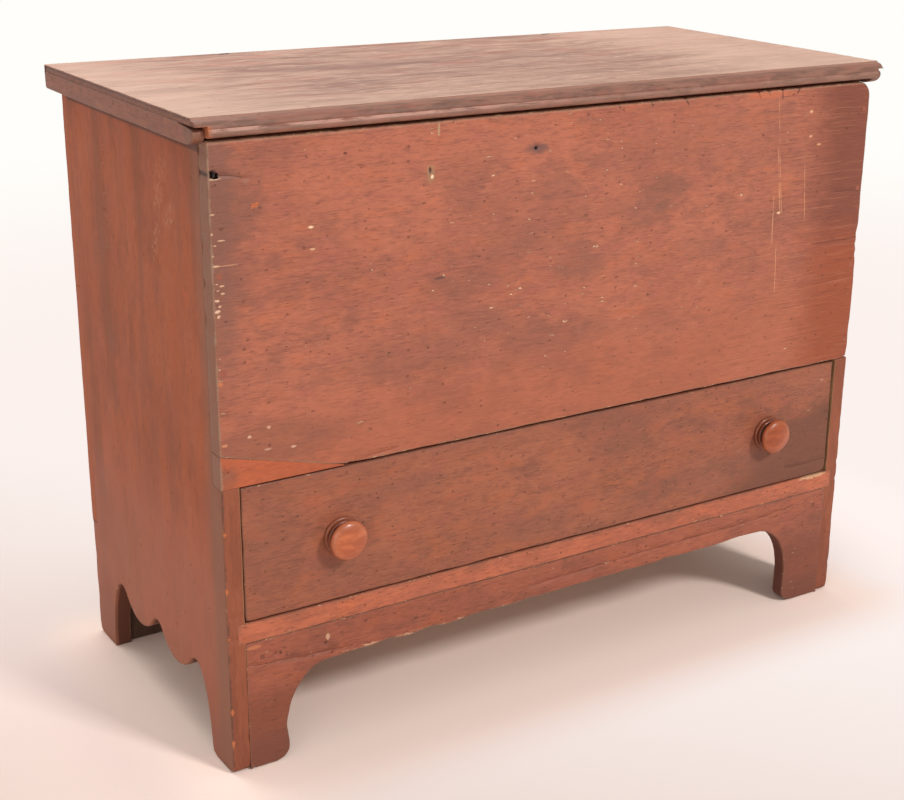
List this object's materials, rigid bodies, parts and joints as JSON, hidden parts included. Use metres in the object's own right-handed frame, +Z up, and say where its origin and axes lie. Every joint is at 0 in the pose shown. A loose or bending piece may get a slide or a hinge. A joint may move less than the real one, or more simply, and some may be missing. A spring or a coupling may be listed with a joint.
{
  "type": "blanket chest",
  "caption": "Painted pine blanket chest: a deep well under a hinged lid with a moulded edge, a full-width drawer with turned wooden knobs below, scalloped sides and bracket feet.",
  "frame": {"origin": "on the floor, under the middle of the whole object's box, knobs and lid overhang included", "axes": "+Z up, the drawer and its knobs face -Y, +X to the right when seen from the front"},
  "size_m": [0.996, 0.483, 0.7824],
  "materials": {
    "worn_red_paint": "worn thin red-brown paint on old pine, satin, rubbed through along the edges",
    "bare_pine": "unpainted old pine, darkened with age",
    "orange_patch": "newer pine under orange-red paint",
    "turned_maple": "turned hardwood, stained and polished by use",
    "iron": "dark wrought iron with thin rust"
  },
  "bodies": {
    "case": {"side_board_left": "worn_red_paint", "side_board_right": "worn_red_paint", "front_board": "worn_red_paint", "front_board_patch": "orange_patch", "front_board_nails": "iron", "back_board_lower": "bare_pine", "back_board_upper": "bare_pine", "back_board_nails": "iron", "well_bottom": "bare_pine", "well_bottom_nails": "iron", "drawer_rail": "worn_red_paint", "front_skirt": "worn_red_paint", "front_skirt_nails": "iron", "back_skirt": "bare_pine", "back_skirt_nails": "iron", "corner_block_front_left": "bare_pine", "corner_block_front_right": "bare_pine", "corner_block_back_left": "bare_pine", "corner_block_back_right": "bare_pine", "drawer_runner_left": "bare_pine", "drawer_runner_right": "bare_pine", "runner_nails": "iron", "hinge_staple_left": "iron", "hinge_staple_right": "iron"},
    "drawer": {"drawer_front": "worn_red_paint", "drawer_side_left": "bare_pine", "drawer_side_right": "bare_pine", "drawer_back": "bare_pine", "drawer_bottom": "bare_pine", "drawer_nails": "iron", "knob_left": "turned_maple", "knob_right": "turned_maple"},
    "lid": {"lid_board": "worn_red_paint", "lid_batten_left": "worn_red_paint", "lid_batten_right": "worn_red_paint", "lid_batten_nails": "iron", "hinge_eye_left": "iron", "hinge_eye_right": "iron"}
  },
  "joints": [
    {"name": "lid_hinge", "type": "hinge", "parent": "case", "child": "lid", "pos_m": [0, 0.2355, 0.755], "axis": [-1, 0, 0], "range_deg": [0, 100]},
    {"name": "drawer_slide", "type": "slide", "parent": "case", "child": "drawer", "axis": [0, -1, 0], "range_m": [0, 0.32]}
  ]
}
